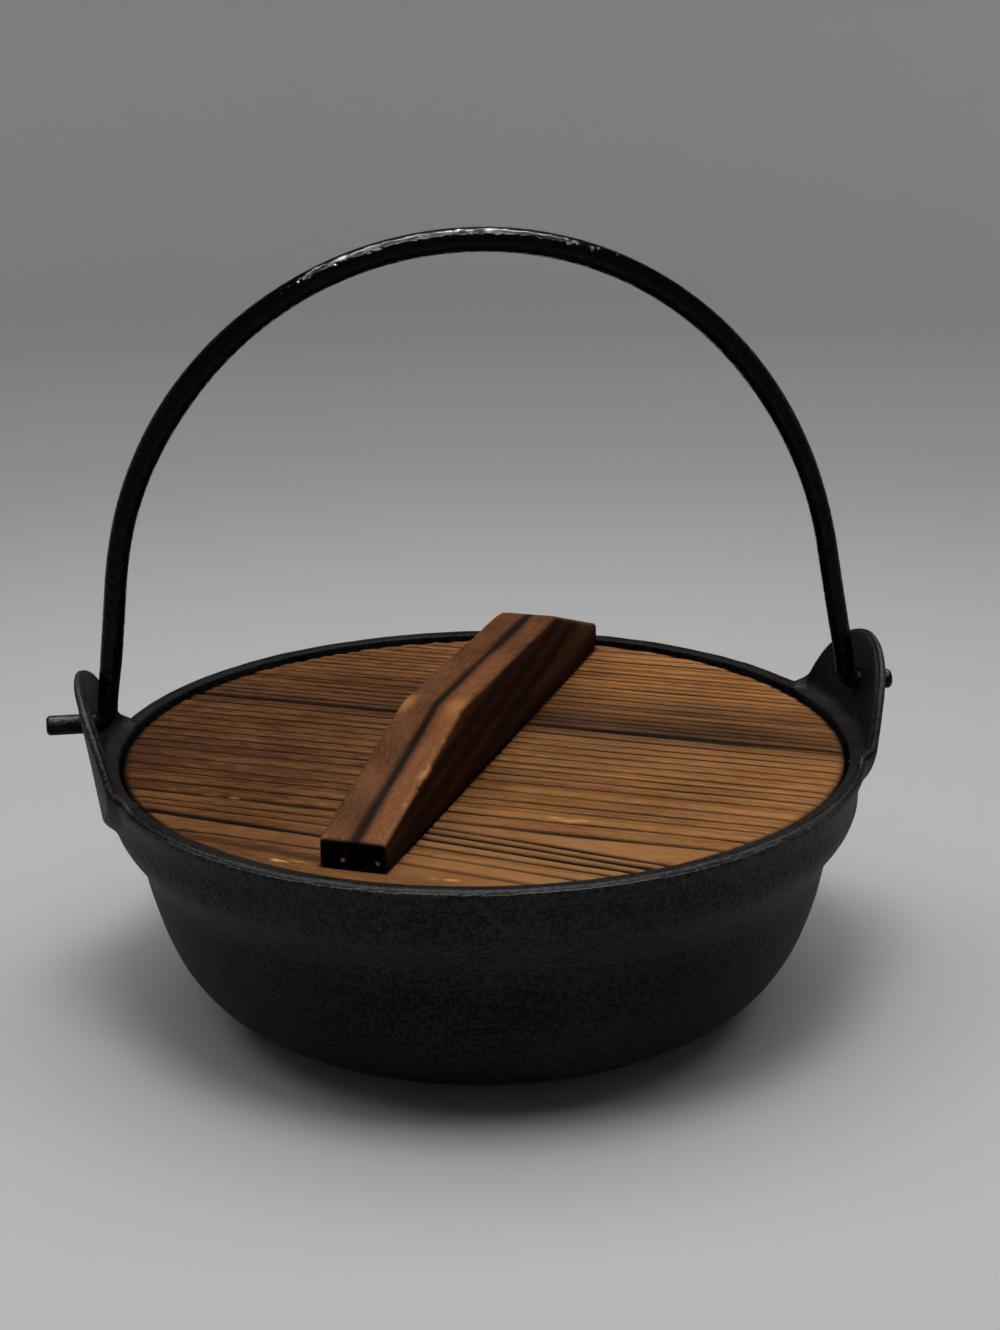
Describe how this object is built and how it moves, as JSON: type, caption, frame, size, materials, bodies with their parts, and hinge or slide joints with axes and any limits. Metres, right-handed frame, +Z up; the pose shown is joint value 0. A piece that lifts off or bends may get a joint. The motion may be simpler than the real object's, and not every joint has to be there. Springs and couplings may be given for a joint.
{
  "type": "cast iron hot pot with wooden lid",
  "caption": "Round cast iron pot with a banded rim, upright lugs and a swinging arched bail, covered by a recessed plank lid with a raised crossbar grip.",
  "frame": {"origin": "middle of the pot's flat base, on the surface that it stands on", "axes": "+Z up, X along the bail's pins, -Y towards the side that the crossbar's lower left end points to"},
  "size_m": [0.2802, 0.252, 0.2579],
  "materials": {
    "cast_iron": "black sand-cast iron",
    "black_painted_steel": "gloss black",
    "scorched_cedar": "scorched and brushed",
    "dark_scorched_cedar": "darkly scorched and brushed"
  },
  "bodies": {
    "pot": {"pot_body": "cast_iron"},
    "bail": {"bail": "black_painted_steel"},
    "lid": {"lid_board_front": "scorched_cedar", "lid_board_middle": "scorched_cedar", "lid_board_back": "scorched_cedar", "lid_crossbar": "dark_scorched_cedar"}
  },
  "joints": [
    {"name": "bail_swing", "type": "hinge", "parent": "pot", "child": "bail", "pos_m": [0, 0, 0.1023], "axis": [1, 0, 0], "range_deg": [-90, 90]},
    {"name": "lid_lift", "type": "slide", "parent": "pot", "child": "lid", "axis": [0, 0, 1], "range_m": [0, 0.014]}
  ]
}
